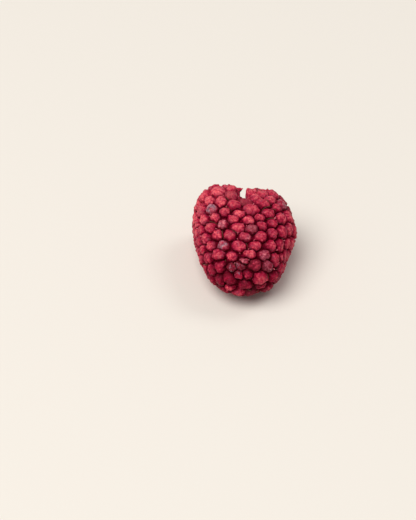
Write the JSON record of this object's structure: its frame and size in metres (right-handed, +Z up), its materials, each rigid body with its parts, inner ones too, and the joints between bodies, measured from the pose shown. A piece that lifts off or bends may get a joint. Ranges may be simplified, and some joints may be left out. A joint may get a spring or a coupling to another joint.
{
  "type": "dried raspberry",
  "caption": "Hollow dried raspberry lying on its side: fused round drupelets with deep crevices round an open-mouthed core hollow, its rim notched on top.",
  "frame": {"origin": "centre of the box round the berry in X and Y, on the surface that it rests on", "axes": "+Y from the closed tip to the open rim, +Z up, +X across the berry"},
  "size_m": [0.0182, 0.0202, 0.0138],
  "materials": {
    "berry_skin": "dried raspberry skin: coral-crimson frosted tops, dark wine-red crevices with a faint juicy gloss"
  },
  "bodies": {
    "root": {"berry": "berry_skin"}
  },
  "joints": []
}
